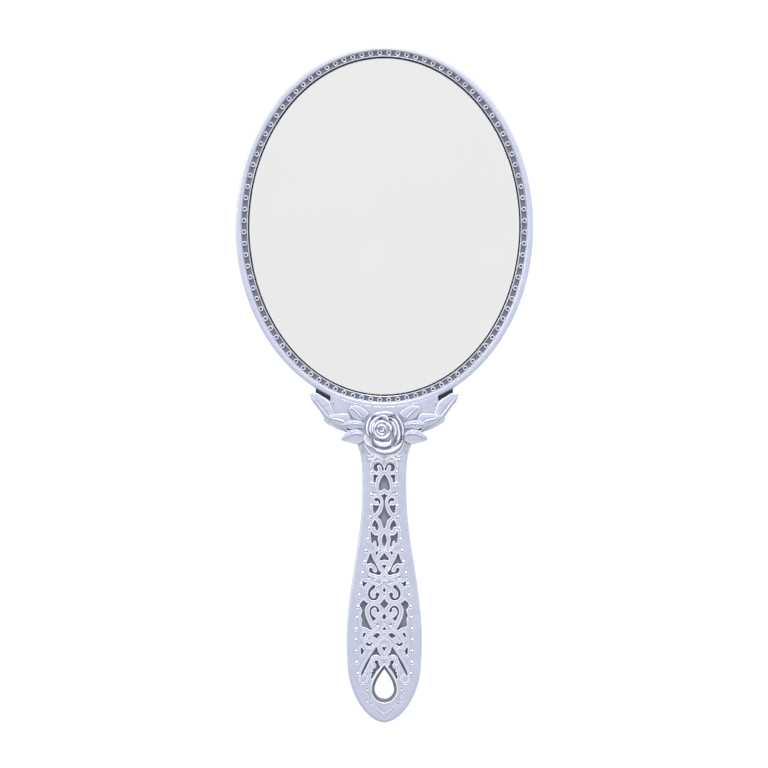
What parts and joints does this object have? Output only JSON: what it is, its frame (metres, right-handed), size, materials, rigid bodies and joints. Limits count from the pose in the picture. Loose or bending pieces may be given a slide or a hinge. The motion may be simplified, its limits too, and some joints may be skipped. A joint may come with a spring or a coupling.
{
  "type": "hand mirror",
  "caption": "Oval hand mirror with lace-edged rim, rose and leaves at the neck, openwork scroll handle and teardrop hang hole.",
  "frame": {"origin": "centre of the bounding box on the flat back, with the mirror lying on its back", "axes": "+Z is the normal of the glass, +Y runs from the handle end to the head, X is the width and the mirror is symmetric across it"},
  "size_m": [0.11, 0.25, 0.0138],
  "materials": {
    "silver_plastic": "satin silver metallised coat on moulded plastic, faint cool lilac tone",
    "dark_core": "dull slate-grey moulded plastic seen through the openwork",
    "mirror_pane": "clear polished glass, silvered from behind",
    "silvering": "bright reflecting film behind the glass",
    "backing_paint": "grey protective paint behind the silvering",
    "foam": "soft closed-cell foam pad",
    "tape": "thin double-sided adhesive tape"
  },
  "bodies": {
    "root": {"back_shell": "silver_plastic", "front_frame": "silver_plastic", "rim_ground": "dark_core", "rim_lace": "silver_plastic", "trim_ring": "silver_plastic", "mirror_glass": "mirror_pane", "silvering": "silvering", "backing_coat": "backing_paint", "foam_pad": "foam", "tape_upper": "tape", "tape_lower": "tape", "handle_core": "dark_core", "handle_filigree": "silver_plastic", "hole_liner": "dark_core", "hole_rim": "silver_plastic", "rose_calyx": "silver_plastic", "rose_petals": "silver_plastic", "rose_bud": "silver_plastic", "leaf_spray_left": "silver_plastic", "leaf_spray_right": "silver_plastic", "neck_scroll": "silver_plastic"}
  },
  "joints": []
}
